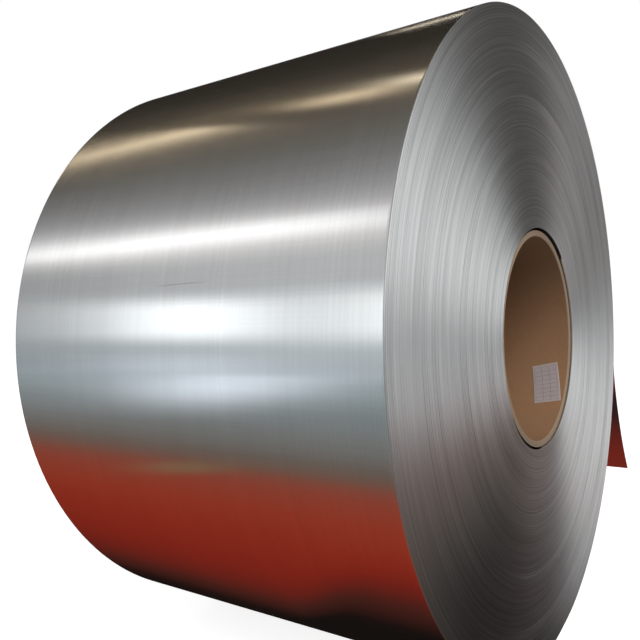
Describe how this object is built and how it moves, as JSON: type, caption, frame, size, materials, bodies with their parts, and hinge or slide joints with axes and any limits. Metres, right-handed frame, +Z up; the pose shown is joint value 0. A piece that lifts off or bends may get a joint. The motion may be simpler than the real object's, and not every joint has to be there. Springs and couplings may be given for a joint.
{
  "type": "aluminium strip coil",
  "caption": "Roll of bright rolled metal strip on a paper core, lying on its side, with its loose outer end hanging off and a small ruled paper label inside the core.",
  "frame": {"origin": "middle of the paper core's bore, on its axis, half-way along the coil", "axes": "+X along the bore towards the end with the label, +Y towards the side where the loose end hangs, +Z up"},
  "size_m": [1.0238, 1.6559, 1.5742],
  "materials": {
    "strip": "mill finish, bright rolled",
    "core": "wound brown paper tube",
    "label": "matt printed label"
  },
  "bodies": {
    "root": {"wound_strip": "strip", "paper_core": "core", "core_label": "label"}
  },
  "joints": []
}
